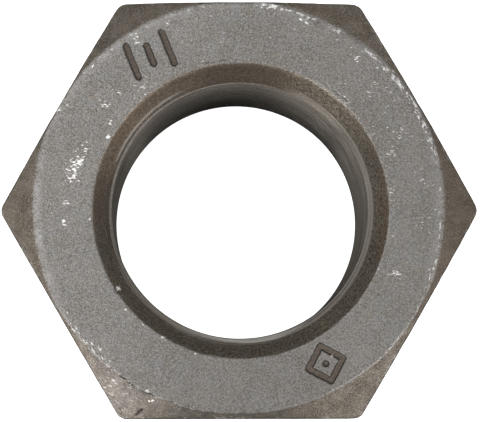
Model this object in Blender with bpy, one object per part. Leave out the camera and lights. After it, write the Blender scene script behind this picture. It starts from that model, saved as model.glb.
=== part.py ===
"""Heavy hex nut, 1-3/4 inch by 12 threads per inch: one forged, turned and tapped steel piece.

The nut stands on its lower bearing face. The origin is the middle of that face, +Z runs up the
bore, +X points at a corner of the hexagon and +Y at a wrench flat. All sizes are in metres.
"""

import math

import bmesh
import bpy

INCH = 0.0254

# The forged hexagon.
ACROSS_FLATS = 0.0695
HEIGHT = (1 + 23 / 32) * INCH
CORNER_RADIUS = 0.0020
CORNER_STEPS = 4

# The turned ends, the same on both faces.
BEARING_DIAMETER = 0.0682
CHAMFER_ANGLE = math.radians(30)
COUNTERSINK_DIAMETER = 0.0490
COUNTERSINK_ANGLE = math.radians(45)

# The right-hand thread. The punched hole is what the tap goes into.
MAJOR_DIAMETER = 1.75 * INCH
MINOR_DIAMETER = 0.0426
PUNCHED_DIAMETER = 0.0412
PITCH = INCH / 12
ROOT_FLAT = PITCH / 8
FLANK_ANGLE = math.radians(30)

# Facets around every round surface, and how far a cutter runs past what it cuts.
TURN_STEPS = 48
OVERRUN = 0.003

STEEL_COLOUR = (0.235, 0.221, 0.205, 1.0)
STEEL_ROUGHNESS = 0.55
STEEL_METALLIC = 0.85
SHARP_EDGE = math.radians(20)


def clear_scene():
    """Remove every object that the file starts with."""
    for old in list(bpy.data.objects):
        bpy.data.objects.remove(old, do_unlink=True)


def dark_steel():
    """Heat-treated steel, dark grey with a trace of brown."""
    material = bpy.data.materials.new("dark_steel")
    material.use_nodes = True
    shader = material.node_tree.nodes["Principled BSDF"]
    shader.inputs["Base Color"].default_value = STEEL_COLOUR
    shader.inputs["Roughness"].default_value = STEEL_ROUGHNESS
    shader.inputs["Metallic"].default_value = STEEL_METALLIC
    return material


def on_circle(radius, angle, height):
    """A point at this radius and angle around the bore's axis."""
    return (radius * math.cos(angle), radius * math.sin(angle), height)


def make_object(bm, name):
    """Turn a finished bmesh into an object with its faces pointing out."""
    bmesh.ops.recalc_face_normals(bm, faces=bm.faces)
    mesh = bpy.data.meshes.new(name)
    bm.to_mesh(mesh)
    bm.free()
    made = bpy.data.objects.new(name, mesh)
    bpy.context.scene.collection.objects.link(made)
    return made


def hexagon_outline():
    """The nut's plan: six flats joined by small arcs, starting at the +X corner."""
    arc_centre = (ACROSS_FLATS / 2 - CORNER_RADIUS) / math.cos(math.radians(30))
    outline = []
    for corner in range(6):
        corner_angle = math.radians(60 * corner)
        centre_x, centre_y, _ = on_circle(arc_centre, corner_angle, 0)
        for step in range(CORNER_STEPS + 1):
            turn = math.radians(60 * step / CORNER_STEPS - 30)
            x, y, _ = on_circle(CORNER_RADIUS, corner_angle + turn, 0)
            outline.append((centre_x + x, centre_y + y, 0))
    return outline


def forged_hexagon(name):
    """The hexagon at full height, before its ends are turned."""
    bm = bmesh.new()
    base = bm.faces.new([bm.verts.new(point) for point in hexagon_outline()])
    grown = bmesh.ops.extrude_face_region(bm, geom=[base])
    raised = [item for item in grown["geom"] if isinstance(item, bmesh.types.BMVert)]
    bmesh.ops.translate(bm, verts=raised, vec=(0, 0, HEIGHT))
    return make_object(bm, name)


def turned_ring(name):
    """What turning and punching leave: chamfers outside, countersinks and a plain hole inside."""
    outer = ACROSS_FLATS / 2 / math.cos(math.radians(30)) + OVERRUN
    bearing = BEARING_DIAMETER / 2
    countersink = COUNTERSINK_DIAMETER / 2
    punched = PUNCHED_DIAMETER / 2
    chamfer_drop = (outer - bearing) * math.tan(CHAMFER_ANGLE)
    countersink_depth = (countersink - punched) * math.tan(COUNTERSINK_ANGLE)
    section = [
        (punched, countersink_depth),
        (countersink, 0),
        (bearing, 0),
        (outer, chamfer_drop),
        (outer, HEIGHT - chamfer_drop),
        (bearing, HEIGHT),
        (countersink, HEIGHT),
        (punched, HEIGHT - countersink_depth),
    ]
    bm = bmesh.new()
    corners = [bm.verts.new((radius, 0, height)) for radius, height in section]
    edges = [bm.edges.new((corners[i - 1], corners[i])) for i in range(len(corners))]
    bmesh.ops.spin(
        bm,
        geom=corners + edges,
        cent=(0, 0, 0),
        axis=(0, 0, 1),
        angle=math.tau,
        steps=TURN_STEPS,
        use_merge=True,
    )
    return make_object(bm, name)


def thread_section():
    """One pitch of the tap, as radius and height: crest, flank, root flat and flank."""
    minor = MINOR_DIAMETER / 2
    major = MAJOR_DIAMETER / 2
    flank = (major - minor) * math.tan(FLANK_ANGLE)
    crest = PITCH - ROOT_FLAT - 2 * flank
    return [(minor, 0), (minor, crest), (major, crest + flank), (major, PITCH - flank)]


def tap(name):
    """A right-hand threaded rod that runs past both faces and leaves the thread behind."""
    section = thread_section()
    turns = math.ceil((HEIGHT + 2 * OVERRUN) / PITCH)
    steps = turns * TURN_STEPS
    bm = bmesh.new()
    columns = []
    for step in range(steps + TURN_STEPS + 1):
        angle = math.tau * step / TURN_STEPS
        lift = PITCH * step / TURN_STEPS - OVERRUN
        points = section if step <= steps else section[:1]
        column = [on_circle(radius, angle, lift + height) for radius, height in points]
        columns.append([bm.verts.new(point) for point in column])

    # Each column ends where the column one turn later begins.
    full = [column + [columns[step + TURN_STEPS][0]] for step, column in enumerate(columns[: steps + 1])]
    for left, right in zip(full, full[1:]):
        for i in range(len(section)):
            bm.faces.new((left[i], right[i], right[i + 1], left[i + 1]))

    # Close both ends with a fan around the axis.
    lower = [column[0] for column in columns[: TURN_STEPS + 1]] + full[0][-2:0:-1]
    upper = [column[0] for column in columns[steps:]] + full[-1][-2:0:-1]
    for rim in (lower, upper):
        middle = bm.verts.new((0, 0, (rim[0].co.z + rim[TURN_STEPS].co.z) / 2))
        for i in range(len(rim)):
            bm.faces.new((rim[i - 1], rim[i], middle))
    bmesh.ops.triangulate(bm, faces=bm.faces)
    return make_object(bm, name)


def machine(work, tool, operation):
    """Shape the work with a tool, by a Boolean whose result replaces the work's mesh."""
    boolean = work.modifiers.new(tool.name, "BOOLEAN")
    boolean.operation = operation
    boolean.solver = "EXACT"
    boolean.object = tool
    evaluated = work.evaluated_get(bpy.context.evaluated_depsgraph_get())
    shaped = bpy.data.meshes.new_from_object(evaluated)
    work.modifiers.remove(boolean)
    work.data = shaped
    bpy.data.objects.remove(tool, do_unlink=True)


def hex_nut():
    """Forge the hexagon, turn its ends and tap it."""
    nut = forged_hexagon("hex_nut")
    machine(nut, turned_ring("turned_ring"), "INTERSECT")
    machine(nut, tap("tap"), "DIFFERENCE")
    nut.data.name = "hex_nut"
    nut.data.materials.clear()
    nut.data.materials.append(dark_steel())
    nut.data.shade_smooth()
    nut.data.set_sharp_from_angle(angle=SHARP_EDGE)


clear_scene()
hex_nut()
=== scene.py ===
"""The looks of a heavy hex nut of dark heat-treated steel, lying on a pale floor in a soft studio.

One closed mesh stands for the CAD node. It is made column by column round the bore: the turned and
forged outside from a rounded section, the thread from rows that climb with the helix. Marks, dents
and forging unevenness are moved into the mesh. One procedural material reads masks that are worked
out from where each vertex lies on the nut. Everything is in metres, in the frame of the CAD model.
"""

import math

import bmesh
import bpy
import numpy as np
from mathutils import Matrix, Vector, noise


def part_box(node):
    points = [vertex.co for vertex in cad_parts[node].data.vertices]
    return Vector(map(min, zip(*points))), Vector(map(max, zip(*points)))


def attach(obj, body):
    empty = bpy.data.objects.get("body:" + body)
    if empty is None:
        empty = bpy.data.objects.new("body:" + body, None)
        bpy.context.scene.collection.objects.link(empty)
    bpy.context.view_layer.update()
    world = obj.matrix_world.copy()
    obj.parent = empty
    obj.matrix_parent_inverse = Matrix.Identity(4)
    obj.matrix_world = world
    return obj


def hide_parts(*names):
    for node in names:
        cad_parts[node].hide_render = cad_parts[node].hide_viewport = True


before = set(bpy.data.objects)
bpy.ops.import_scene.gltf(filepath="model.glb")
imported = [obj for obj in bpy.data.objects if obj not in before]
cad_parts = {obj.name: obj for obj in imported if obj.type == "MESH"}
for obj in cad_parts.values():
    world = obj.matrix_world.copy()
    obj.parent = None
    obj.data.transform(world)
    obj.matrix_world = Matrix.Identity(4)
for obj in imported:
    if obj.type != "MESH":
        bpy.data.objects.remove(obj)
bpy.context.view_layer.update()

MM = 0.001
INCH = 0.0254

# The nut's own box gives the size of the hexagon and the radius of its corners.
nut_low, nut_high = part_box("hex_nut")
HEIGHT = nut_high[2] - nut_low[2]
FLATS = nut_high[1] - nut_low[1]
CORNERS = nut_high[0] - nut_low[0]
HALF_SECTOR = math.radians(30)
SHARP_CORNERS = FLATS / math.cos(HALF_SECTOR)
CORNER_RADIUS = (SHARP_CORNERS - CORNERS) / 2 / (1 / math.cos(HALF_SECTOR) - 1)

# The thread and the turned ends, as in the CAD model.
PITCH = INCH / 12
MAJOR_RADIUS = 1.75 * INCH / 2
MINOR_RADIUS = 21.3 * MM
COUNTERSINK_RADIUS = 24.5 * MM
CHAMFER_SLOPE = math.tan(math.radians(30))

# The chamfer and the countersink are turned a little off the bore's axis.
BEARING_RADIUS = 34.2 * MM
BEARING_OFFSETS = {1: (-0.18 * MM, 0.52 * MM), -1: (0.22 * MM, -0.12 * MM)}
COUNTERSINK_OFFSET = (0.16 * MM, -0.13 * MM)
MOUTH_WEAR = 0.07 * MM
NARROWEST_CHAMFER = 0.22 * MM

# Inside this radius the upper and lower faces end at the countersink, and outside it at the chamfer.
MIDDLE_OF_FACE = 30 * MM

# How finely the mesh is divided.
CORNER_COLUMNS = 4
FLAT_COLUMNS = 52
THREAD_PHASES = (0.03, 0.31, 0.37, 0.58, 0.64, 0.70, 0.76, 0.97)
RUNOUT_ROWS = 28
RUNOUT_TOP = 1.6 * MM
RUNOUT_BOTTOM = 3.4 * MM


# ---------------------------------------------------------------- small shared formulas


def smoothstep(start, end, value):
    """0 before start and 1 after end, with a smooth ramp between."""
    t = np.clip((value - start) / (end - start), 0, 1)
    return t * t * (3 - 2 * t)


def bump(distance, width):
    """1 at no distance, falling smoothly to nothing at about twice the width."""
    return np.exp(-((distance / width) ** 2))


def soft_max(a, b, blend):
    """The larger of two lengths, with the crease between them rounded."""
    near = np.clip(1 - np.abs(a - b) / blend, 0, 1)
    return np.maximum(a, b) + near * near * blend / 4


def uneven(points, size, seed):
    """Smooth noise from -1 to 1 at each point, with lumps of about this size."""
    shift = Vector((seed * 17.3, seed * -9.1, seed * 5.7))
    return np.array([noise.noise(Vector(point) / size + shift) for point in points])


def around(radius, theta, z):
    """Points at these radii, angles and heights."""
    return np.stack([radius * np.cos(theta), radius * np.sin(theta), z * np.ones_like(theta)], -1)


# ---------------------------------------------------------------- the nut's shape


def from_corner(theta):
    """Angle from the nearest corner of the hexagon."""
    return np.abs((theta + HALF_SECTOR) % (2 * HALF_SECTOR) - HALF_SECTOR)


def outline_radius(theta):
    """Distance from the axis to the hexagon's side or rounded corner."""
    phi = from_corner(theta)
    centre = (FLATS / 2 - CORNER_RADIUS) / math.cos(HALF_SECTOR)
    flat = FLATS / 2 / np.cos(HALF_SECTOR - phi)
    arc = centre * np.cos(phi) + np.sqrt(np.maximum(CORNER_RADIUS**2 - (centre * np.sin(phi)) ** 2, 0))
    return np.where(phi < corner_half_angle(), arc, flat)


def corner_half_angle():
    """Half the angle that one rounded corner takes up, seen from the axis."""
    centre = (FLATS / 2 - CORNER_RADIUS) / math.cos(HALF_SECTOR)
    across = CORNER_RADIUS * math.sin(HALF_SECTOR)
    return math.atan2(across, centre + CORNER_RADIUS * math.cos(HALF_SECTOR))


def column_angles():
    """Angles of the mesh's columns, closer together round each corner of the hexagon."""
    corner = corner_half_angle()
    sector = 2 * HALF_SECTOR
    steps = np.concatenate(
        [
            np.linspace(0, corner, CORNER_COLUMNS, endpoint=False),
            np.linspace(corner, sector - corner, FLAT_COLUMNS, endpoint=False),
            np.linspace(sector - corner, sector, CORNER_COLUMNS, endpoint=False),
        ]
    )
    return np.concatenate([steps + sector * k for k in range(6)])


def off_centre(radius, offset, theta):
    """Radius, from the axis, of a circle whose centre is off the axis."""
    return radius + offset[0] * np.cos(theta) + offset[1] * np.sin(theta)


def countersink_radius(theta):
    """Radius of the countersink's rim, a little uneven."""
    rim = around(np.full_like(theta, COUNTERSINK_RADIUS), theta, 0)
    worn = COUNTERSINK_RADIUS + MOUTH_WEAR
    return off_centre(worn, COUNTERSINK_OFFSET, theta) + 0.05 * MM * uneven(rim, 2.5 * MM, 3)


def bearing_radius(theta, end):
    """Radius at which the bearing face turns down into the chamfer; end is 1 above and -1 below."""
    rim = around(np.full_like(theta, BEARING_RADIUS), theta, end * HEIGHT)
    wander = 0.16 * MM * uneven(rim, 9 * MM, 1) + 0.07 * MM * uneven(rim, 2 * MM, 2)
    if end > 0:
        wander += 0.42 * MM * window(theta, 234, 20, 8) * uneven(rim, 1.2 * MM, 4)
        wander += 0.26 * MM * window(theta, 264, 12, 6) * uneven(rim, 0.9 * MM, 5)
    circle = off_centre(BEARING_RADIUS, BEARING_OFFSETS[end], theta) + wander
    return np.minimum(circle, outline_radius(theta) - NARROWEST_CHAMFER)


def thread_radius(theta, z):
    """The internal thread's radius: right-hand, with crests and roots slightly rounded."""
    crest, root = MINOR_RADIUS, MAJOR_RADIUS
    near = 0.1 * (root - crest)
    radii = (crest, crest, crest + near, root - near, root, root, root - near, crest + near)
    phases = (THREAD_PHASES[-1] - 1,) + THREAD_PHASES + (THREAD_PHASES[0] + 1,)
    return np.interp((z / PITCH - theta / math.tau) % 1, phases, radii[-1:] + radii + radii[:1])


def bore_radius(theta, z):
    """The wall of the bore: the thread, opened out by the countersinks at both ends."""
    rim = countersink_radius(theta)
    cone = np.maximum(rim - (HEIGHT - z), rim - z)
    return soft_max(thread_radius(theta, z), cone, 0.12 * MM)


def window(theta, middle, half_width, fade):
    """1 within half_width degrees of a direction round the nut, fading out beyond it."""
    away = np.abs((np.degrees(theta) - middle + 180) % 360 - 180)
    return smoothstep(half_width + fade, half_width, away)


def frayed(theta):
    """How frayed the countersinks' mouths are, from 0 to 1."""
    return window(theta, 92, 35, 30)


def spaced(count, ease):
    """Steps from 0 up to but not including 1, drawn towards both ends by ease."""
    t = np.arange(count) / count
    return t + ease * (0.5 - 0.5 * np.cos(math.pi * t) - t)


def rounded_section(corners, rounding, arc_steps, run_steps):
    """Points along a section given by its corners, with each inner corner rounded off.

    corners holds, for each corner, arrays of radius and height, one value for each column.
    """
    section = []
    start = corners[0]
    for k in range(1, len(corners)):
        leg = corners[k] - corners[k - 1]
        length = np.linalg.norm(leg, axis=-1, keepdims=True)
        last = k == len(corners) - 1
        end = corners[k] if last else corners[k] - leg / length * np.minimum(rounding[k - 1], length * 0.45)
        for t in spaced(run_steps[k - 1], 0.5):
            section.append(start + (end - start) * t)
        if last:
            break
        out = corners[k + 1] - corners[k]
        out_length = np.linalg.norm(out, axis=-1, keepdims=True)
        start = corners[k] + out / out_length * np.minimum(rounding[k - 1], out_length * 0.45)
        for t in np.arange(arc_steps) / arc_steps:
            section.append(end * (1 - t) ** 2 + corners[k] * 2 * t * (1 - t) + start * t * t)
    section.append(corners[-1])
    return np.stack(section, 1)


def outside_section(theta):
    """The section from inside the upper countersink, round the outside, into the lower one."""

    def corner(radius, z):
        return np.stack([radius * np.ones_like(theta), z * np.ones_like(theta)], -1)

    outline = outline_radius(theta)
    rim = countersink_radius(theta)
    upper, lower = bearing_radius(theta, 1), bearing_radius(theta, -1)
    corners = [
        corner(rim - RUNOUT_TOP, HEIGHT - RUNOUT_TOP),
        corner(rim, HEIGHT),
        corner(upper, HEIGHT),
        corner(outline, HEIGHT - (outline - upper) * CHAMFER_SLOPE),
        corner(outline, (outline - lower) * CHAMFER_SLOPE),
        corner(lower, 0),
        corner(rim, 0),
        corner(rim - RUNOUT_TOP, RUNOUT_TOP),
    ]
    rim_rounding = (0.40 + 0.75 * strongest(theta, ROLLED_RIM))[:, None] * MM
    mouth_rounding = (0.18 + 0.27 * frayed(theta))[:, None] * MM
    rounding = (mouth_rounding, rim_rounding, 0.32 * MM, 0.32 * MM, 0.40 * MM, 0.22 * MM)
    return rounded_section(corners, rounding, 4, (6, 25, 8, 28, 6, 11, 4))


class Shell:
    """The points and faces of the nut's skin as they are added."""

    def __init__(self):
        self.points = []
        self.faces = []

    def add(self, points):
        """Add rows of points and give back their numbers in the same arrangement."""
        first = sum(len(group) for group in self.points)
        flat = points.reshape(-1, 3)
        self.points.append(flat)
        return (first + np.arange(len(flat))).reshape(points.shape[:-1])

    def skin(self, numbers, beyond=None):
        """Cover a grid of points, closed round the bore. Collapsed edges give triangles."""
        following = np.roll(numbers, -1, 0)
        if beyond is not None:
            following[-1] = beyond
        for here, there in zip(numbers.tolist(), following.tolist()):
            for j in range(len(here) - 1):
                face = list(dict.fromkeys((here[j], there[j], there[j + 1], here[j + 1])))
                if len(face) > 2:
                    self.faces.append(face)

    def join_half(self, fine, coarse):
        """Join a ring of columns to a ring with every second column."""
        count = len(coarse)
        for i in range(count):
            a, b = coarse[i], coarse[(i + 1) % count]
            first, middle, last = fine[2 * i], fine[2 * i + 1], fine[(2 * i + 2) % len(fine)]
            self.faces.append([a, middle, first])
            self.faces.append([a, b, last, middle])


def runout_rows(shell, theta, heights):
    """Level rows through a run-out, where the thread is cut off by the countersink."""
    wall = [around(bore_radius(theta, np.full_like(theta, z)), theta, z) for z in heights]
    return shell.add(np.stack(wall, 1))


def climbing_rows(shell, theta, floor_ring, roof_ring, floor_z, roof_z):
    """Rows that climb one pitch in each turn, flattened onto the rings below and above them."""
    turns = math.ceil((roof_z - floor_z) / PITCH) + 2
    first_turn = math.floor(floor_z / PITCH) - 1
    phases = len(THREAD_PHASES)
    rise = np.array([first_turn + j // phases + THREAD_PHASES[j % phases] for j in range(turns * phases)])
    z = PITCH * (rise[None, :] + theta[:, None] / math.tau)
    angles = np.broadcast_to(theta[:, None], z.shape)
    margin = 0.08 * MM
    free = (z > floor_z + margin) & (z < roof_z - margin)
    numbers = np.where(z <= floor_z + margin, floor_ring[:, None], roof_ring[:, None])
    numbers[free] = shell.add(around(bore_radius(angles[free], z[free]), angles[free], z[free]))
    numbers = np.concatenate([floor_ring[:, None], numbers, roof_ring[:, None]], 1)
    beyond = np.append(numbers[0][phases:], [roof_ring[0]] * phases)
    beyond[0] = floor_ring[0]
    shell.skin(numbers, beyond)


def nut_shell():
    """The nut's whole skin, before marks and unevenness."""
    shell = Shell()
    theta = column_angles()
    section = outside_section(theta)
    angles = np.broadcast_to(theta[:, None], section.shape[:2])
    outside = shell.add(around(section[..., 0], angles, section[..., 1]))
    shell.skin(outside)

    bore_theta = theta[::2]
    heights = np.linspace(RUNOUT_TOP, RUNOUT_BOTTOM, RUNOUT_ROWS + 1)[1:]
    upper = runout_rows(shell, bore_theta, HEIGHT - heights)
    lower = runout_rows(shell, bore_theta, heights)
    shell.skin(upper)
    shell.skin(lower)
    shell.join_half(outside[:, 0], upper[:, 0])
    shell.join_half(outside[:, -1], lower[:, 0])
    climbing_rows(shell, bore_theta, lower[:, -1], upper[:, -1], RUNOUT_BOTTOM, HEIGHT - RUNOUT_BOTTOM)
    return shell


# ---------------------------------------------------------------- marks, dents and unevenness

STROKE_HALF_WIDTH = 0.48 * MM
STROKE_WALL = 0.16 * MM
STROKE_DEPTH = 0.38 * MM
STROKE_LIP = 0.025 * MM
MARK_CUTS = 4


def placed(strokes, angle, radius, turn=0.0):
    """Strokes drawn in millimetres round a mark's middle, put on the bearing face.

    Before the turn, the first number of a point runs round the nut and the second outwards.
    """
    outward = np.array([math.cos(math.radians(angle)), math.sin(math.radians(angle))])
    sideways = np.array([-outward[1], outward[0]])
    c, s = math.cos(math.radians(turn)), math.sin(math.radians(turn))

    def place(point):
        u, v = point[0] * c - point[1] * s, point[0] * s + point[1] * c
        return outward * (radius + v * MM) + sideways * u * MM

    return [(place(a), place(b)) for a, b in strokes]


def bars_mark():
    """Three stamped bars side by side, the middle one shorter."""
    spacing, long_half, short_half = 3.2, 2.8, 1.6
    halves = (long_half, short_half, long_half)
    strokes = [(((k - 1) * spacing, -half), ((k - 1) * spacing, half)) for k, half in enumerate(halves)]
    return placed(strokes, 120, 29.8 * MM, 8)


def diamond_mark():
    """A stamped diamond with a dot in it."""
    reach = 3.0
    tips = [(reach, 0), (0, reach), (-reach, 0), (0, -reach)]
    sides = [(tips[k], tips[(k + 1) % 4]) for k in range(4)]
    return placed(sides + [((0, 0), (0, 0))], 299, 29.2 * MM, 12)


STROKES = bars_mark() + diamond_mark()


def stroke_distance(plan, strokes=STROKES):
    """Distance, seen from above, from each point to the nearest stroke's centre line."""
    nearest = np.full(len(plan), 1.0)
    for a, b in strokes:
        along = b - a
        square = float(along @ along)
        t = np.clip((plan - a) @ along / square, 0, 1) if square else np.zeros(len(plan))
        nearest = np.minimum(nearest, np.linalg.norm(plan - a - t[:, None] * along, axis=1))
    return nearest


# Dents: angle in degrees, then in mm the radius, depth below the upper face, size and depth of dent.
DENTS = (
    (213.0, 24.25, 0.10, 0.42, 0.40),
    (243.4, 37.60, 2.00, 0.40, 0.14),
    (324.0, 26.60, 0.00, 0.45, 0.10),
    (101.0, 34.30, 0.10, 0.60, 0.25),
    (66.0, 34.20, 0.10, 0.80, 0.22),
    (31.0, 34.10, 0.15, 0.70, 0.25),
    (12.0, 34.00, 0.15, 0.60, 0.20),
    (255.0, 24.40, 0.10, 0.40, 0.22),
    (284.0, 24.40, 0.10, 0.35, 0.20),
)

# Where knocks have broken through to bright metal: angle in degrees, radius and size in mm, strength.
CHIPS = (
    (213.0, 23.90, 0.36, 1.0),
    (221.3, 25.20, 0.30, 0.7),
    (230.1, 24.90, 0.26, 0.7),
    (238.9, 24.70, 0.30, 0.9),
    (252.7, 25.05, 0.30, 0.8),
    (183.5, 24.90, 0.26, 0.8),
    (151.0, 24.95, 0.36, 1.0),
    (163.0, 24.90, 0.24, 0.7),
    (302.0, 28.60, 0.28, 0.9),
    (211.0, 33.30, 0.20, 0.7),
    (216.0, 34.10, 0.28, 1.0),
    (223.0, 33.60, 0.22, 0.8),
    (225.0, 32.70, 0.32, 1.0),
    (230.0, 33.90, 0.32, 0.8),
    (236.0, 37.30, 0.24, 0.7),
    (242.9, 33.70, 0.28, 1.0),
    (244.6, 34.90, 0.30, 0.8),
    (246.2, 34.70, 0.36, 0.8),
    (151.0, 34.30, 0.30, 0.9),
    (72.5, 33.30, 0.22, 0.9),
    (70.5, 33.10, 0.26, 1.0),
    (67.5, 33.50, 0.22, 0.8),
    (62.0, 33.60, 0.20, 0.7),
    (50.0, 33.70, 0.22, 0.8),
    (48.3, 33.80, 0.32, 1.0),
    (44.2, 33.60, 0.34, 1.0),
    (42.6, 33.70, 0.24, 0.8),
    (39.0, 33.80, 0.36, 1.0),
    (37.4, 33.80, 0.26, 0.9),
    (27.5, 33.50, 0.22, 0.7),
    (24.6, 33.50, 0.30, 1.0),
    (20.6, 33.60, 0.24, 0.9),
    (343.0, 33.50, 0.26, 0.8),
    (331.0, 33.60, 0.22, 0.8),
)
CHIP_STRETCH = 1.5

# Inside this radius a chip is on the countersink's mouth and reaches down into it.
CHIPS_IN_MOUTH = 27 * MM

# Dark folds where metal is pressed against a rim: from and to in degrees, on which circle, how far
# outside that circle, and how open the fold is.
FOLDS = (
    (231.0, 248.0, "bearing", 0.16 * MM, 1.0),
    (246.0, 262.0, "bearing", 0.08 * MM, 0.60),
    (88.0, 108.0, "mouth", 0.60 * MM, 0.55),
    (42.0, 62.0, "mouth", 0.80 * MM, 0.50),
)

FOLD_WIDTH = 0.14 * MM

# A short nick across the lower left chamfer.
NICK_ENDS = ((243.9, 36.9 * MM), (243.1, 38.3 * MM))
NICK_WIDTH = 0.10 * MM
NICK_DEPTH = 0.32 * MM

# Groups of small bright scratches on the upper face, given in the same way.
SCUFFS = (
    (136.5, 27.8, 1.2, 0.72),
    (142.2, 28.6, 1.1, 0.92),
    (146.0, 25.9, 0.6, 1.0),
    (158.5, 27.6, 1.2, 0.8),
    (164.0, 28.3, 1.6, 1.0),
    (169.0, 28.2, 1.4, 0.95),
    (177.5, 28.8, 0.8, 0.9),
    (184.0, 29.0, 1.0, 0.9),
    (124.0, 25.7, 1.0, 0.60),
    (129.0, 25.9, 1.2, 0.68),
    (134.0, 25.9, 1.0, 0.55),
    (112.0, 33.2, 1.4, 0.50),
    (121.0, 33.0, 1.6, 0.58),
    (130.0, 33.1, 1.4, 0.50),
    (149.0, 33.7, 0.7, 0.80),
    (52.0, 31.9, 0.6, 0.85),
    (27.0, 28.4, 1.1, 0.50),
    (20.0, 26.8, 0.8, 0.75),
    (43.0, 31.0, 0.8, 0.65),
    (8.0, 26.0, 0.6, 0.7),
    (86.0, 29.6, 0.7, 0.8),
    (338.0, 27.8, 1.1, 0.7),
    (26.0, 30.0, 0.9, 0.55),
)


def stamp_distance(points):
    """Distance to the nearest stamped stroke, with the strokes' sides a little uneven."""
    return stroke_distance(points[:, :2]) + 0.07 * MM * uneven(points, 0.9 * MM, 28)


def polar(points):
    """Angle, radius and height of each point."""
    return np.arctan2(points[:, 1], points[:, 0]), np.hypot(points[:, 0], points[:, 1]), points[:, 2]


def spot(points, angle, radius, below):
    """Distance of each point from a place given by angle, radius and depth below the upper face."""
    a = math.radians(angle)
    return np.linalg.norm(points - (radius * math.cos(a), radius * math.sin(a), HEIGHT - below), axis=1)


def smeared(at, angle, radius):
    """Distance seen from above, measured short along the rim, so that a spot there comes out long."""
    away = (at.theta - math.radians(angle) + math.pi) % math.tau - math.pi
    return np.hypot(away * radius / CHIP_STRETCH, at.r - radius)


def nick_distance(points):
    """Distance, seen from above, from each point of the upper end to the nick's centre line."""
    ends = [r * np.array([math.cos(math.radians(a)), math.sin(math.radians(a))]) for a, r in NICK_ENDS]
    distance = stroke_distance(points[:, :2], [tuple(ends)])
    return np.where(points[:, 2] > HEIGHT - 4 * MM, distance, 1.0)


# Patches round the nut: middle, half width and fade in degrees, and strength.
ROLLED_RIM = (
    (186, 14, 14, 1.0),
    (4, 12, 16, 1.0),
    (128, 22, 10, 0.7),
    (70, 28, 10, 0.6),
)
WORN_RIM = (
    (72, 10, 8, 1.0),
    (43, 7, 6, 1.0),
    (23, 6, 6, 0.9),
    (4, 6, 8, 0.6),
    (122, 16, 12, 0.45),
    (345, 7, 6, 0.7),
    (330, 3, 4, 0.5),
    (222, 8, 8, 0.7),
)
BROWNED_CONE = (
    (92, 12, 22, 1.0),
    (182, 16, 14, 1.0),
)
SOOTY_CONE = (
    (90, 10, 16, 0.38),
    (28, 9, 14, 0.30),
    (184, 13, 12, 0.40),
    (240, 14, 16, 0.33),
    (275, 16, 14, 0.24),
    (330, 12, 14, 0.18),
    (210, 8, 8, 0.28),
    (118, 8, 12, 0.12),
)
SOOTY_RUN_OUT = (
    (0, 10, 10, 0.18),
    (60, 10, 12, 0.13),
    (181, 12, 10, 0.56),
    (300, 8, 10, 0.17),
)
# Painted shade on the upper face: darker round 275° and over its whole right half.
FACE_PAINTED_SHADE = (
    (275, 20, 24, 0.20),
    (345, 90, 40, 0.105),
)
SOOTY_CHAMFER = (
    (0, 26, 8, 0.32),
    (120, 26, 8, 0.14),
)
# A painted highlight on the lip where the thread runs out into the countersinks.
LIP_PAINTED_HIGHLIGHT = (
    (265, 19, 11, 1.0),
    (335, 40, 20, 0.16),
)
# A painted shadow on the first thread crest near each end, strongest round 262° and 345°.
BRINK_PAINTED_SHADOW = (
    (262, 45, 20, 1.0),
    (345, 45, 20, 0.7),
)

# Painted shade that darkens the bore's wall further down: a patch as above, then the depths below the
# upper face at which it starts and is full.
BORE_PAINTED_SHADE = (
    (86, 44, 14, 0.75, 6 * MM, 24 * MM),
    (104, 22, 20, 0.50, 2 * MM, 7 * MM),
    (184, 24, 12, 0.50, 1 * MM, 4 * MM),
)


def patch_levels(theta, patches):
    """The strength of each patch in each direction round the nut."""
    return np.array([level * window(theta, middle, half, fade) for middle, half, fade, level in patches])


def strongest(theta, patches):
    """The strength of the strongest patch in each direction."""
    return patch_levels(theta, patches).max(0)


def summed(theta, patches):
    """The patches' strengths in each direction, added up."""
    return patch_levels(theta, patches).sum(0)


class Places:
    """Where points lie: round the nut, out from its axis and below its faces and edges."""

    def __init__(self, points):
        self.points = points
        self.theta, self.r, self.z = polar(points)
        self.upper = self.z > HEIGHT / 2
        self.below_top = HEIGHT - self.z
        self.from_face = np.where(self.upper, self.below_top, self.z)
        self.outline = outline_radius(self.theta)
        self.mouth = countersink_radius(self.theta)
        self.bearing = np.where(self.upper, bearing_radius(self.theta, 1), bearing_radius(self.theta, -1))
        self.inside = self.bearing - self.r
        self.below_turned = self.from_face - np.maximum(-self.inside, 0) * CHAMFER_SLOPE


def surfaces(at):
    """How far each point is on each kind of surface, from 0 to 1."""
    fray = (0.22 + 0.30 * frayed(at.theta)) * MM
    turned = smoothstep(fray, -fray, at.r - at.mouth)
    level = 1 - smoothstep(0.02 * MM, 0.30 * MM, at.from_face)
    face = level * smoothstep(0.15 * MM, 0.45 * MM, at.outline - at.r)
    from_cone = np.abs(at.mouth - at.from_face - at.r)
    sloping = smoothstep(0.6 * MM, 0.2 * MM, at.below_turned)
    return {
        "turned": turned,
        "ground": np.where(at.r < MIDDLE_OF_FACE, 1 - turned, face),
        "cone": smoothstep(0.20 * MM, 0.04 * MM, from_cone) * turned,
        "tapped": smoothstep(MAJOR_RADIUS + 0.30 * MM, MAJOR_RADIUS, at.r),
        "chamfer": smoothstep(0, 0.25 * MM, -at.inside) * sloping,
    }


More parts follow.
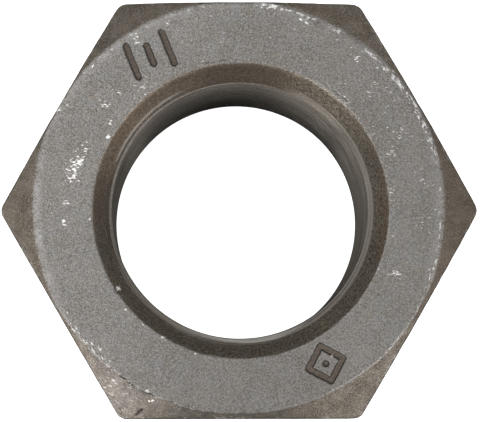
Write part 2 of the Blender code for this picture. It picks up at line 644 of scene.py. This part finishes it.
def thread_masks(at, on):
    """The thread, its crests, painted shade on its wall, and a painted highlight and shadow at its run-out.
    """
    brown_front = 0.15 * window(at.theta, 98, 46, 30) * smoothstep(8 * MM, 3 * MM, at.from_face)
    thread = on["tapped"] * (1 - 0.78 * strongest(at.theta, BROWNED_CONE) * on["cone"])
    thread = thread * (1 - brown_front * (1 - on["cone"]))
    past_crest = at.r - MINOR_RADIUS
    # A painted highlight on the run-out's lip: a broad band and a thin line.
    lip_highlight = 0.95 * np.clip(summed(at.theta, LIP_PAINTED_HIGHLIGHT), 0, 1)
    lip_highlight_band = lip_highlight * bump(past_crest - 0.42 * MM, 0.46 * MM)
    lip_highlight_line = window(at.theta, 266, 26, 14) * bump(past_crest - 0.45 * MM, 0.17 * MM)
    # A painted shadow along the first crest near each end.
    brink_shadow = strongest(at.theta, BRINK_PAINTED_SHADOW) * bump(past_crest, 0.14 * MM)
    # Painted shade that darkens the bore's wall further down.
    clear = 1.0
    for middle, half, fade, level, start, full in BORE_PAINTED_SHADE:
        dark = level * smoothstep(start, full, at.below_top) * window(at.theta, middle, half, fade)
        clear = clear * (1 - dark)
    return {
        "thread": thread,
        "crest": bump(past_crest, 0.10 * MM) * thread,
        "bore_shade": (1 - clear) * thread,
        "lip": on["cone"] * np.maximum(lip_highlight_band, lip_highlight_line),
        "brink_shadow": brink_shadow * (at.from_face < 5.5 * MM),
    }


def dirt_and_shade_masks(at, on):
    """Rust, soot and painted shade, on the upper end only."""
    rust = bump(at.r - at.mouth + 0.45 * MM, 0.34 * MM) * window(at.theta, 6, 24, 20)
    rust = rust * smoothstep(-0.4, 0.3, uneven(at.points, 2.5 * MM, 24))
    rust = np.maximum(rust, 0.55 * window(at.theta, 128, 48, 22) * on["turned"])
    rust = np.maximum(rust, 0.45 * window(at.theta, 0, 26, 8) * on["chamfer"])

    fuzz = 0.6 * bump(at.inside - 0.2 * MM, 0.35 * MM) * on["ground"]
    fuzz = fuzz * smoothstep(-0.1, 0.3, uneven(at.points, 1.5 * MM, 29))
    soot_and_shade = 0.78 * window(at.theta, 267, 14, 9) * np.maximum(on["chamfer"], fuzz)
    soot_and_shade = soot_and_shade * (0.75 + 0.4 * uneven(at.points, 1.2 * MM, 27))
    # Soot and, on the upper face, painted shade, in patches round the nut.
    soot_and_shade_places = (
        (FACE_PAINTED_SHADE, on["ground"]),
        (SOOTY_CHAMFER, on["chamfer"]),
        (SOOTY_CONE, on["cone"]),
        (SOOTY_RUN_OUT, on["cone"] * on["tapped"]),
    )
    for patches, place in soot_and_shade_places:
        soot_and_shade = np.maximum(soot_and_shade, strongest(at.theta, patches) * place)
    return {"rust": rust * at.upper, "soot_and_shade": np.clip(soot_and_shade, 0, 1) * at.upper}


def wear_masks(at, on):
    """Where the steel is rubbed bright, scratched, chipped, roughened or rolled over."""
    rim = smoothstep(-0.10 * MM, 0.20 * MM, at.inside) * smoothstep(1.5 * MM, 0.35 * MM, at.inside)
    rim = rim * np.where(at.from_face < 0.8 * MM, 0.62 + 0.45 * uneven(at.points, 2 * MM, 25), 0)
    rim = rim * np.where(at.upper, summed(at.theta, WORN_RIM), 0.4)

    chamfer_drop = (at.outline - at.bearing) * CHAMFER_SLOPE
    from_edge = np.hypot(at.r - at.outline, np.maximum(at.from_face - chamfer_drop, 0))
    upright = bump(from_corner(at.theta) * at.r, 1.6 * MM) * smoothstep(0.5 * MM, 0, at.outline - at.r)

    scuffs = [level * bump(spot(at.points, angle, r * MM, 0), size * MM) for angle, r, size, level in SCUFFS]
    lower_scuffs = 0.8 * smoothstep(0.2, 0.6, uneven(at.points, 5 * MM, 31))
    flecked = window(at.theta, 42, 55, 30) * smoothstep(-0.1, 0.5, uneven(at.points, 2.5 * MM, 32))
    scuff = np.where(at.upper, sum(scuffs) + 0.36 * on["ground"] * flecked, lower_scuffs)

    chips = [level * bump(smeared(at, angle, r * MM), size * MM) for angle, r, size, level in CHIPS]
    reach = np.where(at.r < CHIPS_IN_MOUTH, 1.5 * MM, 0.35 * MM)
    roughened = bump(spot(at.points, 235, 35.8 * MM, 1 * MM), 8.5 * MM)
    band = bump(0.6 * MM - at.inside, 0.7 * MM) * smoothstep(-0.5, 0.2, uneven(at.points, 2.2 * MM, 23))
    return {
        "rim": np.clip(rim, 0, 1),
        "edge": np.maximum(bump(from_edge, 0.35 * MM), upright),
        "scuff": np.clip(scuff, 0, 1),
        "chip": np.clip(sum(chips), 0, 1) * (at.upper & (at.below_turned < reach)),
        "rough": roughened * smoothstep(-0.2 * MM, 0.3 * MM, -at.inside),
        "rolled": strongest(at.theta, ROLLED_RIM) * band * at.upper,
    }


def mark_masks(at):
    """The stamped marks' floors and walls, and the folds and nick; walls, folds and nick get dirt and
    painted shade.
    """
    top = at.upper & (at.from_face < 0.05 * MM)
    distance = stamp_distance(at.points)
    broken = smoothstep(-0.45, 0.10, uneven(at.points, 0.9 * MM, 22))
    fold = folds(at.points, FOLD_WIDTH) * broken * at.upper
    return {
        "mark": smoothstep(STROKE_HALF_WIDTH + STROKE_WALL, 0, distance) * top,
        # The walls are darkened with dirt and painted shade.
        "wall": bump(distance - STROKE_HALF_WIDTH, 0.13 * MM) * top,
        "fold": np.maximum(fold, bump(nick_distance(at.points), NICK_WIDTH)),
    }


def masks(points):
    """What each point of the skin is and how worn, and where shade and highlights are painted: the masks
    that the material reads.
    """
    at = Places(points)
    on = surfaces(at)
    found = {name: on[name] for name in ("ground", "turned", "cone")}
    for group in (thread_masks(at, on), dirt_and_shade_masks(at, on), wear_masks(at, on), mark_masks(at)):
        found.update(group)
    return found


def folds(points, width):
    """How much each point of the upper end lies within this width of one of the folds."""
    theta, r, z = polar(points)
    circles = {"bearing": bearing_radius(theta, 1), "mouth": countersink_radius(theta)}
    along = np.degrees(theta) % 360
    wander = 0.30 * MM * uneven(points, 1.6 * MM, 21) + 0.14 * MM * uneven(points, 0.6 * MM, 26)
    depth = np.zeros_like(r)
    for start, end, circle, outside, openness in FOLDS:
        reach = smoothstep(start, start + 4, along) * smoothstep(end, end - 5, along)
        from_line = np.where(z > HEIGHT - 1.2 * MM, r - circles[circle] - outside - wander, 1.0)
        depth = np.maximum(depth, openness * reach * bump(from_line, width))
    return depth


def worked_in(points, normals, mask):
    """Move each point in: forging unevenness, dents, folds, a nick and the stamped marks."""
    theta, r, z = polar(points)
    skin = (1 - mask["ground"]) * (1 - mask["turned"]) * (1 - mask["thread"])
    broad = 0.5 + 0.5 * uneven(points, 7 * MM, 11)
    middle = 0.5 + 0.5 * uneven(points, 1.8 * MM, 12)
    small = 0.5 + 0.5 * uneven(points, 0.7 * MM, 13)
    depth = mask["ground"] * (0.030 * MM * broad + 0.008 * MM * middle)
    depth += skin * (0.08 * MM * broad + 0.05 * MM * middle + 0.03 * MM * small)
    depth += skin * mask["rough"] * (0.05 * MM * middle + 0.11 * MM * small)
    depth += mask["edge"] * 0.08 * MM * middle
    depth += mask["rim"] * 0.10 * MM * middle * small
    depth += mask["turned"] * (1 - mask["thread"]) * 0.02 * MM * middle
    for angle, *lengths in DENTS:
        radius, below, size, dent = [length * MM for length in lengths]
        depth += dent * bump(spot(points, angle, radius, below), size)
    depth += mask["fold"] * 0.16 * MM
    depth += NICK_DEPTH * bump(nick_distance(points), NICK_WIDTH)
    moved = points - normals * depth[:, None]

    distance = stamp_distance(points)
    stamped = np.where(mask["ground"] * (z > HEIGHT / 2) > 0.9, 1.0, 0.0)
    outer, inner = STROKE_HALF_WIDTH + STROKE_WALL, STROKE_HALF_WIDTH - STROKE_WALL
    sunk = STROKE_DEPTH * smoothstep(outer, inner, distance)
    lip = STROKE_LIP * bump(distance - STROKE_HALF_WIDTH - 2 * STROKE_WALL, 0.14 * MM)
    moved[:, 2] += stamped * (lip - sunk)
    moved[:, 2] = np.clip(moved[:, 2], 0, HEIGHT)
    return moved


def divide_marks(bm):
    """Divide the upper end finely round the stamped strokes, the nick and the folds."""
    reach = STROKE_HALF_WIDTH + STROKE_WALL + 0.35 * MM
    upper = [f for f in bm.faces if f.calc_center_median().z > HEIGHT - 3 * MM and f.normal.z > 0.7]
    centres = np.array([f.calc_center_median()[:] for f in upper])
    flat = centres[:, 2] > HEIGHT - 0.001 * MM
    near = flat & (stroke_distance(centres[:, :2]) < reach)
    near |= ~flat & (nick_distance(centres) < 0.6 * MM)
    near |= folds(centres, 0.5 * MM) > 0.25
    edges = {edge for face, close in zip(upper, near) if close for edge in face.edges}
    bmesh.ops.subdivide_edges(bm, edges=list(edges), cuts=MARK_CUTS, use_grid_fill=True)


def nut_mesh():
    """The finished mesh, with its masks stored on its points."""
    shell = nut_shell()
    mesh = bpy.data.meshes.new("hex_nut_steel")
    mesh.from_pydata(np.concatenate(shell.points).tolist(), [], shell.faces)
    bm = bmesh.new()
    bm.from_mesh(mesh)
    bmesh.ops.recalc_face_normals(bm, faces=bm.faces)
    divide_marks(bm)
    bm.to_mesh(mesh)
    bm.free()

    points = np.empty(len(mesh.vertices) * 3, np.float32)
    normals = np.empty_like(points)
    mesh.vertices.foreach_get("co", points)
    mesh.vertices.foreach_get("normal", normals)
    points = points.reshape(-1, 3).astype(float)
    mask = masks(points)
    moved = worked_in(points, normals.reshape(-1, 3), mask)
    mesh.vertices.foreach_set("co", moved.astype(np.float32).ravel())
    for name, values in mask.items():
        mesh.attributes.new(name, "FLOAT", "POINT").data.foreach_set("value", values.astype(np.float32))
    mesh.shade_smooth()
    mesh.update()
    return mesh


# ---------------------------------------------------------------- the material


# How fast the pattern across a ring changes along X, so that no ring is quite the same all round.
RING_DRIFT = 0.012


class Nodes:
    """Builds one material's nodes, so that a look reads as a row of formulas."""

    def __init__(self, material):
        material.use_nodes = True
        self.tree = material.node_tree
        self.shader = self.tree.nodes["Principled BSDF"]
        self.place = self.add("ShaderNodeTexCoord").outputs["Object"]

    def add(self, kind, **settings):
        """A new node with these properties."""
        node = self.tree.nodes.new(kind)
        for name, value in settings.items():
            setattr(node, name, value)
        return node

    def feed(self, socket, value):
        """Link a node's output to an input, or set the input's own value."""
        if isinstance(value, bpy.types.NodeSocket):
            self.tree.links.new(value, socket)
        else:
            socket.default_value = value

    def mask(self, name):
        """One of the masks stored on the mesh."""
        return self.add("ShaderNodeAttribute", attribute_name=name).outputs["Fac"]

    def calc(self, operation, a, b=0.0):
        """One step of arithmetic."""
        node = self.add("ShaderNodeMath", operation=operation)
        self.feed(node.inputs[0], a)
        self.feed(node.inputs[1], b)
        return node.outputs[0]

    def plus(self, a, b):
        """Two values added."""
        return self.calc("ADD", a, b)

    def times(self, a, b):
        """Two values multiplied."""
        return self.calc("MULTIPLY", a, b)

    def larger(self, a, b):
        """The larger of two values."""
        return self.calc("MAXIMUM", a, b)

    def ramp(self, value, start, end, low=0.0, high=1.0):
        """A smooth ramp of a value: low at start and high at end."""
        node = self.add("ShaderNodeMapRange", interpolation_type="SMOOTHSTEP")
        settings = {"Value": value, "From Min": start, "From Max": end, "To Min": low, "To Max": high}
        for name, number in settings.items():
            self.feed(node.inputs[name], number)
        return node.outputs[0]

    def blend(self, factor, first, second):
        """Mix two colours."""
        node = self.add("ShaderNodeMix", data_type="RGBA")
        self.feed(node.inputs[0], factor)
        self.feed(node.inputs[6], first)
        self.feed(node.inputs[7], second)
        return node.outputs[2]

    def between(self, factor, first, second):
        """Mix two numbers."""
        node = self.add("ShaderNodeMix", data_type="FLOAT")
        self.feed(node.inputs[0], factor)
        self.feed(node.inputs[2], first)
        self.feed(node.inputs[3], second)
        return node.outputs[0]

    def noise(self, size, detail=2.0, place=None, roughness=0.5):
        """Noise around 0.5 whose lumps are of this size in metres."""
        node = self.add("ShaderNodeTexNoise")
        self.feed(node.inputs["Vector"], place or self.place)
        node.inputs["Scale"].default_value = 1 / size
        node.inputs["Detail"].default_value = detail
        node.inputs["Roughness"].default_value = roughness
        return node.outputs["Fac"]

    def stretched(self, turn, stretch):
        """Places turned about the bore and squeezed across, for scratches that lie one way."""
        node = self.add("ShaderNodeMapping")
        self.feed(node.inputs["Vector"], self.place)
        node.inputs["Rotation"].default_value = (0, 0, math.radians(turn))
        node.inputs["Scale"].default_value = (1 / stretch, 1, 1)
        return node.outputs[0]

    def turning_place(self, streak=None):
        """Places measured as radius and height, for the rings that turning and tapping leave.

        With streak, rings break up into streaks that are this many times as long as wide.
        """
        split = self.add("ShaderNodeSeparateXYZ")
        self.feed(split.inputs[0], self.place)
        x, y, z = split.outputs
        radius = self.calc("SQRT", self.plus(self.times(x, x), self.times(y, y)))
        joined = self.add("ShaderNodeCombineXYZ")
        self.feed(joined.inputs[0], radius)
        if streak:
            along = self.times(self.calc("ARCTAN2", y, x), COUNTERSINK_RADIUS / streak)
        else:
            along = self.times(x, RING_DRIFT)
        self.feed(joined.inputs[1], along)
        self.feed(joined.inputs[2], z)
        return joined.outputs[0]


# Each surface has a base colour and layers over it: the pattern that a layer follows, the values of
# the pattern at which the layer starts and is full, its strength there, and its colour.
FACE_BASE = (0.259, 0.234, 0.208, 1)
FACE_LAYERS = (
    ("tint", 0.40, 0.60, 1.0, (0.252, 0.249, 0.246, 1)),
    ("blotch", 0.35, 0.70, 1.0, (0.222, 0.204, 0.184, 1)),
    ("speckle", 0.51, 0.66, 0.6, (0.338, 0.330, 0.318, 1)),
    ("speckle", 0.49, 0.34, 0.55, (0.152, 0.146, 0.138, 1)),
    ("cloud", 0.40, 0.70, 1.0, (0.270, 0.256, 0.240, 1)),
    ("grain", 0.50, 0.70, 1.0, (0.37, 0.36, 0.35, 1)),
    ("grain", 0.50, 0.30, 1.0, (0.128, 0.122, 0.115, 1)),
)
SKIN_BASE = (0.165, 0.140, 0.112, 1)
SKIN_LAYERS = (
    ("tint", 0.30, 0.70, 1.0, (0.215, 0.188, 0.158, 1)),
    ("blotch", 0.45, 0.75, 0.6, (0.125, 0.108, 0.092, 1)),
    ("cloud", 0.50, 0.72, 0.6, (0.255, 0.222, 0.186, 1)),
    ("grain", 0.50, 0.72, 1.0, (0.36, 0.325, 0.285, 1)),
    ("grain", 0.48, 0.28, 1.0, (0.07, 0.058, 0.046, 1)),
)
ROUGHENED_BASE = (0.200, 0.178, 0.163, 1)
ROUGHENED_LAYERS = (("grain", 0.34, 0.66, 1.0, (0.355, 0.325, 0.305, 1)),)
SCALE_BASE = (0.056, 0.048, 0.036, 1)
SCALE_LAYERS = (
    ("streaks", 0.38, 0.62, 1.0, (0.215, 0.185, 0.150, 1)),
    ("lines", 0.50, 0.68, 0.35, (0.235, 0.200, 0.162, 1)),
    ("grain", 0.54, 0.74, 1.0, (0.33, 0.29, 0.24, 1)),
    ("grain", 0.47, 0.28, 1.0, (0.030, 0.026, 0.020, 1)),
)
CUT_BASE = (0.25, 0.220, 0.190, 1)
CUT_LAYERS = (
    ("rings", 0.34, 0.66, 1.0, (0.50, 0.46, 0.41, 1)),
    ("bands", 0.45, 0.60, 0.6, (0.17, 0.150, 0.128, 1)),
)
RUN_OUT_BASE = (0.085, 0.075, 0.062, 1)
RUN_OUT_LAYERS = (("lines", 0.41, 0.59, 1.0, (0.325, 0.296, 0.262, 1)),)
THREAD_GRAIN_LAYERS = (
    ("grain", 0.55, 0.75, 0.7, (0.56, 0.53, 0.48, 1)),
    ("grain", 0.47, 0.30, 0.4, (0.10, 0.09, 0.078, 1)),
)
STAMP_BASE = (0.118, 0.095, 0.078, 1)
STAMP_LAYERS = (("speckle", 0.35, 0.70, 1.0, (0.172, 0.145, 0.124, 1)),)

ROLLED_COLOUR = (0.37, 0.365, 0.36, 1)
CREST_COLOUR = (0.42, 0.39, 0.35, 1)
# Painted shade in the bore.
BORE_SHADE_COLOUR = (0.150, 0.141, 0.128, 1)
# A painted highlight on the run-out's lip.
LIP_HIGHLIGHT_COLOUR = (0.88, 0.86, 0.81, 1)
RUST_COLOUR = (0.150, 0.098, 0.066, 1)
# Soot, and painted shade on the upper face.
SOOT_AND_SHADE_COLOUR = (0.063, 0.059, 0.052, 1)
# Dirt and painted shade, for the marks' walls, the folds, the nick and the first thread crest.
DIRT_AND_SHADE_COLOUR = (0.030, 0.025, 0.020, 1)
BARE_COLOUR = (0.88, 0.87, 0.855, 1)


class NutNodes(Nodes):
    """The nut's material in the making, with the patterns that all its looks share."""

    def __init__(self, material):
        super().__init__(material)
        ringed = self.turning_place()
        self.patterns = {
            "speckle": self.noise(0.42 * MM, 3, roughness=0.6),
            "tint": self.noise(2.2 * MM, 1),
            "cloud": self.noise(9 * MM, 4, roughness=0.6),
            "blotch": self.noise(3.2 * MM, 3, roughness=0.6),
            "patchy": self.noise(5 * MM, 2),
            "grain": self.noise(0.23 * MM, 2, roughness=0.7),
            "rings": self.noise(0.16 * MM, 2, ringed),
            "lines": self.noise(0.50 * MM, 2, ringed),
            "bands": self.noise(2.4 * MM, 2, ringed),
            "streaks": self.noise(0.22 * MM, 4, self.turning_place(2.6), roughness=0.75),
            "dashes": self.noise(0.40 * MM, 4, self.turning_place(1.7), roughness=0.68),
            "ticks": self.noise(0.26 * MM, 2, self.stretched(62, 3.0)),
        }
        self.ragged = self.times(self.calc("SUBTRACT", self.patterns["speckle"], 0.5), 1.6)
        faced = self.plus(self.mask("ground"), self.mask("turned"))
        threaded = self.plus(self.mask("thread"), self.times(self.ragged, 0.5))
        self.ground = self.ramp(self.plus(faced, self.ragged), 0.35, 0.75)
        self.turned = self.ramp(self.plus(self.mask("turned"), self.ragged), 0.40, 0.70)
        self.thread = self.ramp(threaded, 0.45, 1.0)

    def follow(self, pattern, start, end, low=0.0, high=1.0):
        """A smooth ramp of one of the patterns."""
        return self.ramp(self.patterns[pattern], start, end, low, high)

    def layered(self, colour, layers):
        """A base colour with its layers over it."""
        for pattern, start, end, strength, tone in layers:
            colour = self.blend(self.follow(pattern, start, end, 0.0, strength), colour, tone)
        return colour

    def cover(self, colour, mask, tone, factor):
        """A colour covered with another where the mask and the factor are high."""
        return self.blend(self.times(self.mask(mask), factor), colour, tone)


def thread_colour(n):
    """The cut thread: ringed, paler on its crests, with painted shade in its depths, dull where it runs out.
    """
    cut = n.layered(CUT_BASE, CUT_LAYERS)
    cut = n.cover(cut, "crest", CREST_COLOUR, n.follow("rings", 0.45, 0.60))
    # Painted shade, darker further down the bore.
    cut = n.blend(n.mask("bore_shade"), cut, BORE_SHADE_COLOUR)
    run_out = n.layered(RUN_OUT_BASE, RUN_OUT_LAYERS)
    return n.layered(n.blend(n.mask("cone"), cut, run_out), THREAD_GRAIN_LAYERS)


def steel_colour(n):
    """The colour of every surface with its dirt, marks, painted shade and painted highlights, before bare
    metal shows through.
    """
    face = n.layered(FACE_BASE, FACE_LAYERS)
    face = n.cover(face, "rolled", ROLLED_COLOUR, n.follow("speckle", 0.3, 0.6))
    roughened = n.layered(ROUGHENED_BASE, ROUGHENED_LAYERS)
    skin = n.cover(n.layered(SKIN_BASE, SKIN_LAYERS), "rough", roughened, 0.8)
    colour = n.blend(n.ground, skin, face)
    colour = n.blend(n.turned, colour, n.layered(SCALE_BASE, SCALE_LAYERS))
    colour = n.cover(colour, "rust", RUST_COLOUR, n.follow("grain", 0.62, 0.38, 0.4, 0.95))
    colour = n.blend(n.thread, colour, thread_colour(n))
    # A painted highlight on the lip where the thread runs out.
    colour = n.cover(colour, "lip", LIP_HIGHLIGHT_COLOUR, n.follow("lines", 0.30, 0.55, 0.65, 1.0))
    # A painted shadow on the first thread crest near each end.
    colour = n.cover(colour, "brink_shadow", DIRT_AND_SHADE_COLOUR, 0.9)
    # Soot, with painted shade on the upper face round 275° and over its right half.
    colour = n.blend(n.mask("soot_and_shade"), colour, SOOT_AND_SHADE_COLOUR)
    stamp = n.layered(STAMP_BASE, STAMP_LAYERS)
    colour = n.blend(n.ramp(n.mask("mark"), 0.2, 0.6), colour, stamp)
    # Dirt and painted shade in the marks' walls.
    colour = n.cover(colour, "wall", DIRT_AND_SHADE_COLOUR, 0.75)
    # Dirt and painted shade in the folds and the nick.
    return n.blend(n.ramp(n.mask("fold"), 0.25, 0.75, 0.0, 0.9), colour, DIRT_AND_SHADE_COLOUR)


def bare_metal(n):
    """Where bright metal shows: scratches, the worn rim and edges, chips and the roughened chamfer."""
    dashes, rough = n.patterns["dashes"], n.mask("rough")
    on_face = n.calc("SUBTRACT", n.ground, n.turned)
    scratch = n.ramp(n.plus(n.patterns["ticks"], n.times(n.mask("scuff"), 0.25)), 0.73, 0.80)
    rim = n.ramp(n.plus(dashes, n.times(n.mask("rim"), 0.28)), 0.66, 0.73)
    rim = n.times(rim, n.ramp(n.mask("rim"), 0.08, 0.35))
    patchy = n.ramp(n.follow("patchy", 0.45, 0.62), 0.3, 1.0, 0.0, 0.6)
    edge = n.times(n.times(n.mask("edge"), n.follow("dashes", 0.50, 0.60)), patchy)
    broken = n.ramp(n.plus(dashes, n.times(rough, 0.12)), 0.68, 0.78, 0.0, 0.5)
    worn = n.larger(n.larger(n.times(scratch, on_face), rim), edge)
    worn = n.larger(worn, n.times(broken, rough))
    worn = n.larger(worn, n.ramp(n.plus(n.mask("chip"), n.ragged), 0.40, 0.75))
    return n.times(worn, n.calc("SUBTRACT", 1.0, n.mask("mark")))


def set_roughness(n, bare):
    """How rough each surface is."""
    skin = n.follow("blotch", 0.35, 0.65, 0.52, 0.68)
    face = n.follow("grain", 0.35, 0.65, 0.58, 0.44)
    roughness = n.between(n.ground, skin, face)
    roughness = n.between(n.turned, roughness, 0.44)
    roughness = n.between(n.thread, roughness, n.between(n.patterns["rings"], 0.38, 0.58))
    roughness = n.between(n.mask("mark"), roughness, 0.66)
    n.feed(n.shader.inputs["Roughness"], n.between(bare, roughness, 0.30))


def set_relief(n):
    """The fine relief of each surface, which only tilts the light."""
    relief = n.times(n.patterns["speckle"], n.between(n.ground, 1.0, 0.75))
    relief = n.plus(relief, n.times(n.patterns["grain"], 0.5))
    relief = n.between(n.turned, relief, n.times(n.patterns["streaks"], 0.8))
    relief = n.between(n.thread, relief, n.times(n.patterns["rings"], 0.6))
    tilt = n.add("ShaderNodeBump")
    tilt.inputs["Strength"].default_value = 1.0
    tilt.inputs["Distance"].default_value = 0.06 * MM
    n.feed(tilt.inputs["Height"], relief)
    n.feed(n.shader.inputs["Normal"], tilt.outputs[0])


def nut_material():
    """Dark steel: a ground-looking face, brown forged skin, scaled countersinks and cut thread."""
    material = bpy.data.materials.new("dark_steel")
    n = NutNodes(material)
    bare = bare_metal(n)
    n.feed(n.shader.inputs["Base Color"], n.blend(n.times(bare, 0.9), steel_colour(n), BARE_COLOUR))
    n.shader.inputs["Metallic"].default_value = 0.85
    set_roughness(n, bare)
    set_relief(n)
    return material


def make_nut():
    """The visible nut, which stands for the CAD node."""
    mesh = nut_mesh()
    mesh.materials.append(nut_material())
    nut = bpy.data.objects.new("hex_nut_steel", mesh)
    bpy.context.scene.collection.objects.link(nut)
    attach(nut, "root")
    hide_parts("hex_nut")


# ---------------------------------------------------------------- the studio

CAMERA_FROM_FACE = Vector((-9.6, -34.8, 501)) * MM
CAMERA_TARGET = Vector((0, -0.27 * MM, HEIGHT))
CAMERA_ROLL = math.radians(-0.1)
LENS_MM = 227.3
FLOOR_SIZE = 6.0
FLOOR_LEVEL = -0.0002
ROOM_ABOVE = 0.40
ROOM_BELOW = 0.01
TABLE_SIDES = 0.38
HORIZON = 0.95

# Heights on a sphere of radius 1: where the pale horizon ends and the plain room above it begins,
# and how far above and below the horizon the table gives way to the room.
WALL_HEIGHTS = (0.15, 0.45)
TABLE_FADE = 0.1


def make_camera():
    """A long lens almost straight above the nut, leaning a little to the -Y side."""
    data = bpy.data.cameras.new("camera")
    data.lens = LENS_MM
    data.sensor_width = 36
    data.clip_start = 0.01
    data.clip_end = 20
    camera = bpy.data.objects.new("camera", data)
    bpy.context.scene.collection.objects.link(camera)
    location = CAMERA_FROM_FACE + Vector((0, 0, HEIGHT))
    forward = (CAMERA_TARGET - location).normalized()
    right = forward.cross(Vector((0, 1, 0))).normalized()
    up = right.cross(forward)
    turned = Matrix.Rotation(CAMERA_ROLL, 3, "Z")
    axes = Matrix((right, up, -forward)).transposed() @ turned
    camera.matrix_world = Matrix.Translation(location) @ axes.to_4x4()
    bpy.context.scene.camera = camera


def make_floor():
    """A pale floor that stays bright and throws no light of its own on the nut."""
    bm = bmesh.new()
    bmesh.ops.create_grid(bm, x_segments=1, y_segments=1, size=FLOOR_SIZE / 2)
    mesh = bpy.data.meshes.new("floor")
    bm.to_mesh(mesh)
    bm.free()
    material = bpy.data.materials.new("pale_floor")
    material.use_nodes = True
    shader = material.node_tree.nodes["Principled BSDF"]
    shader.inputs["Base Color"].default_value = (0.8, 0.8, 0.8, 1)
    shader.inputs["Roughness"].default_value = 0.9
    shader.inputs["Specular IOR Level"].default_value = 0.0
    shader.inputs["Emission Color"].default_value = (1, 1, 1, 1)
    shader.inputs["Emission Strength"].default_value = 1.1
    mesh.materials.append(material)
    floor = bpy.data.objects.new("floor", mesh)
    floor.location.z = FLOOR_LEVEL
    floor.visible_diffuse = False
    floor.visible_glossy = False
    bpy.context.scene.collection.objects.link(floor)


def make_light(name, azimuth, elevation, distance, size, watts, colour=(1, 1, 1)):
    """A square soft light aimed at the nut, placed by the direction that it shines from."""
    data = bpy.data.lights.new(name, "AREA")
    data.shape = "SQUARE"
    data.size = size
    data.energy = watts
    data.color = colour
    light = bpy.data.objects.new(name, data)
    a, e = math.radians(azimuth), math.radians(elevation)
    direction = Vector((math.cos(a) * math.cos(e), math.sin(a) * math.cos(e), math.sin(e)))
    light.location = direction * distance
    light.rotation_mode = "QUATERNION"
    light.rotation_quaternion = direction.to_track_quat("Z", "Y")
    bpy.context.scene.collection.objects.link(light)


def make_room():
    """A pale room, palest round the horizon. Below it the table's left and right send light up."""
    world = bpy.data.worlds.new("studio")
    world.use_nodes = True
    tree = world.node_tree
    direction = tree.nodes.new("ShaderNodeTexCoord").outputs["Generated"]
    split = tree.nodes.new("ShaderNodeSeparateXYZ")
    tree.links.new(direction, split.inputs[0])
    sideways = tree.nodes.new("ShaderNodeMath")
    sideways.operation = "POWER"
    sideways.inputs[1].default_value = 2
    tree.links.new(split.outputs["X"], sideways.inputs[0])
    table = tree.nodes.new("ShaderNodeMath")
    table.operation = "MULTIPLY_ADD"
    table.inputs[1].default_value = TABLE_SIDES
    table.inputs[2].default_value = ROOM_BELOW
    tree.links.new(sideways.outputs[0], table.inputs[0])
    walls = tree.nodes.new("ShaderNodeMapRange")
    walls.inputs["From Min"].default_value, walls.inputs["From Max"].default_value = WALL_HEIGHTS
    walls.inputs["To Min"].default_value = HORIZON
    walls.inputs["To Max"].default_value = ROOM_ABOVE
    tree.links.new(split.outputs["Z"], walls.inputs["Value"])
    height = tree.nodes.new("ShaderNodeMapRange")
    height.inputs["From Min"].default_value = -TABLE_FADE
    height.inputs["From Max"].default_value = TABLE_FADE
    tree.links.new(split.outputs["Z"], height.inputs["Value"])
    tree.links.new(walls.outputs[0], height.inputs["To Max"])
    tree.links.new(table.outputs[0], height.inputs["To Min"])
    tree.links.new(height.outputs[0], tree.nodes["Background"].inputs["Strength"])
    tree.nodes["Background"].inputs["Color"].default_value = (1.0, 0.985, 0.965, 1)
    bpy.context.scene.world = world


def make_studio():
    """Soft light from two sides and a little from above, in an even room."""
    make_light("overhead", 140, 70, 1.6, 0.8, 5.5)
    make_light("left_front", 226, 40, 1.3, 0.45, 7, (1.0, 0.985, 0.96))
    make_light("right_front", 324, 40, 1.3, 0.40, 5.7)
    make_room()
    bpy.context.scene.view_settings.view_transform = "Standard"


make_camera()
make_floor()
make_studio()
make_nut()
